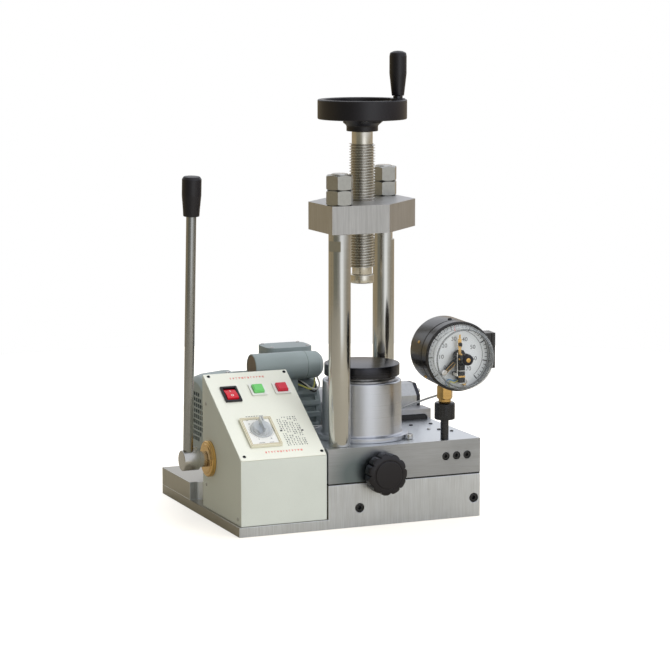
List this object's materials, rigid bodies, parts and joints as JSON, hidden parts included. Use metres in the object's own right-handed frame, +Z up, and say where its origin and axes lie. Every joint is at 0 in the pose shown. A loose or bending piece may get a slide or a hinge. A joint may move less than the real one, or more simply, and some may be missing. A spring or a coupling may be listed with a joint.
{
  "type": "hydraulic tablet press",
  "caption": "Bench press with a hand-lever pump, a motor pump, upright columns under a crosshead, a screw with handwheel, a ram platen, a timer panel and a contact pressure gauge.",
  "frame": {"origin": "on the press axis, where the ram and the screw line up, at the underside of the base plate", "axes": "+Z up along the press axis, -Y the operator's side with the sloped panel, +X towards the pressure gauge"},
  "size_m": [0.4438, 0.4229, 0.682],
  "materials": {
    "machined_steel": "ground faces with fine straight grain",
    "ground_aluminium": "satin, milled and turned",
    "chrome": "polished hard chrome",
    "thread_steel": "oiled cut thread",
    "black_plastic": "moulded, glossy",
    "black_enamel": "gloss enamel",
    "black_steel": "black oxide, oiled",
    "brass": "turned, lightly worn",
    "cream_paint": "fine textured powder coat",
    "motor_paint": "semi-gloss hammered enamel",
    "cast_paint": "cast fins under blue-grey enamel",
    "dial_white": "satin white with printed black scale",
    "clear_window": "clear dome",
    "clear_plastic": "translucent grey moulding",
    "red_plastic": "moulded, glossy",
    "green_plastic": "moulded, glossy",
    "white_plastic": "moulded, semi-gloss",
    "grey_cable": "soft cable sheath",
    "seal_rubber": "matte"
  },
  "bodies": {
    "frame": {"base_plate": "machined_steel", "hydraulic_block": "ground_aluminium", "cylinder": "ground_aluminium", "column_front": "chrome", "column_rear": "chrome", "crosshead": "ground_aluminium", "column_nuts_front": "machined_steel", "column_nuts_rear": "machined_steel", "rear_block": "machined_steel", "control_box": "cream_paint", "control_panel": "cream_paint", "power_switch_body": "black_plastic", "start_button_housing": "white_plastic", "stop_button_housing": "white_plastic", "timer_body": "cream_paint", "mains_gland": "black_plastic", "lever_bearing": "brass", "hand_pump_body": "machined_steel", "motor_frame": "cast_paint", "motor_end_bell": "cast_paint", "fan_cover": "motor_paint", "motor_foot": "motor_paint", "motor_terminal_box": "motor_paint", "capacitor_can": "motor_paint", "pump_body": "ground_aluminium", "pump_end_cover": "black_steel", "gauge_stem": "black_steel", "gauge_union_nut": "black_steel", "gauge_connector": "brass", "gauge_case": "black_enamel", "gauge_dial": "dial_white", "gauge_window": "clear_window", "gauge_terminal_box": "black_enamel", "gauge_lead": "grey_cable"},
    "ram": {"piston": "chrome", "piston_seal": "seal_rubber", "platen": "black_steel"},
    "pad": {"pressure_pad": "thread_steel"},
    "screw": {"lead_screw": "thread_steel", "handwheel": "black_plastic", "crank_pin": "machined_steel"},
    "grip": {"crank_grip": "black_plastic"},
    "lever": {"lever_hub": "machined_steel", "lever_rod": "chrome", "lever_grip": "black_plastic", "cross_shaft": "machined_steel"},
    "plunger": {"hand_pump_plunger": "chrome"},
    "valve": {"release_spindle": "machined_steel", "release_knob": "black_plastic"},
    "rocker": {"power_rocker": "red_plastic"},
    "start": {"start_button": "green_plastic"},
    "stop": {"stop_button": "red_plastic"},
    "dial": {"timer_knob": "clear_plastic"},
    "pointer": {"gauge_pointer": "black_plastic"},
    "setting": {"gauge_setting_knob": "black_plastic"},
    "rotor": {"motor_rotor": "machined_steel", "motor_fan": "black_plastic", "shaft_coupling": "machined_steel", "pump_drive_gear": "machined_steel"},
    "idler": {"pump_idler_gear": "machined_steel"}
  },
  "joints": [
    {"name": "ram_travel", "type": "slide", "parent": "frame", "child": "ram", "axis": [0, 0, 1], "range_m": [0, 0.03]},
    {"name": "screw_travel", "type": "slide", "parent": "frame", "child": "pad", "axis": [0, 0, 1], "range_m": [-0.0701, 0.0501]},
    {"name": "screw_turn", "type": "hinge", "parent": "pad", "child": "screw", "pos_m": [0, 0, 0.5], "axis": [0, 0, 1], "range_deg": [-6300, 4500]},
    {"name": "grip_turn", "type": "hinge", "parent": "screw", "child": "grip", "pos_m": [0.0475, -0.0201, 0.65], "axis": [0, 0, 1], "continuous": true},
    {"name": "lever_swing", "type": "hinge", "parent": "frame", "child": "lever", "pos_m": [-0.2, 0.043, 0.0915], "axis": [1, 0, 0], "range_deg": [-38, 31]},
    {"name": "pump_stroke", "type": "slide", "parent": "frame", "child": "plunger", "axis": [0, 1, 0], "range_m": [-0.0157, 0.0128]},
    {"name": "valve_turn", "type": "hinge", "parent": "frame", "child": "valve", "pos_m": [-0.0055, -0.085, 0.078], "axis": [0, -1, 0], "range_deg": [0, 360]},
    {"name": "rocker_tilt", "type": "hinge", "parent": "frame", "child": "rocker", "pos_m": [-0.193, 0.03432, 0.18492], "axis": [1, 0, 0], "range_deg": [0, 18]},
    {"name": "start_press", "type": "slide", "parent": "frame", "child": "start", "axis": [0, 0.5386, -0.8426], "range_m": [0, 0.0025], "stiffness_N_per_m": 300, "springref_m": -0.001},
    {"name": "stop_press", "type": "slide", "parent": "frame", "child": "stop", "axis": [0, 0.5386, -0.8426], "range_m": [0, 0.0025], "stiffness_N_per_m": 300, "springref_m": -0.001},
    {"name": "timer_set", "type": "hinge", "parent": "frame", "child": "dial", "pos_m": [-0.173, -0.03371, 0.14001], "axis": [0, -0.5386, 0.8426], "range_deg": [-300, 0]},
    {"name": "pointer_turn", "type": "hinge", "parent": "frame", "child": "pointer", "pos_m": [0.1, -0.074, 0.2485], "axis": [-0.1045, -0.9945, 0], "range_deg": [-270, 0], "stiffness_Nm_per_rad": 0.002},
    {"name": "setting_turn", "type": "hinge", "parent": "frame", "child": "setting", "pos_m": [0.1, -0.074, 0.2485], "axis": [-0.1045, -0.9945, 0], "range_deg": [-135, 135]},
    {"name": "motor_spin", "type": "hinge", "parent": "frame", "child": "rotor", "pos_m": [0, 0.149, 0.137], "axis": [1, 0, 0], "continuous": true},
    {"name": "idler_spin", "type": "hinge", "parent": "frame", "child": "idler", "pos_m": [0, 0.149, 0.1218], "axis": [1, 0, 0], "continuous": true}
  ],
  "couplings": [
    {"joint": "screw_travel", "follows": "screw_turn", "m_per_rad": 0.00063662},
    {"joint": "pump_stroke", "follows": "lever_swing", "m_per_rad": 0.0235},
    {"joint": "idler_spin", "follows": "motor_spin", "ratio": -1}
  ]
}
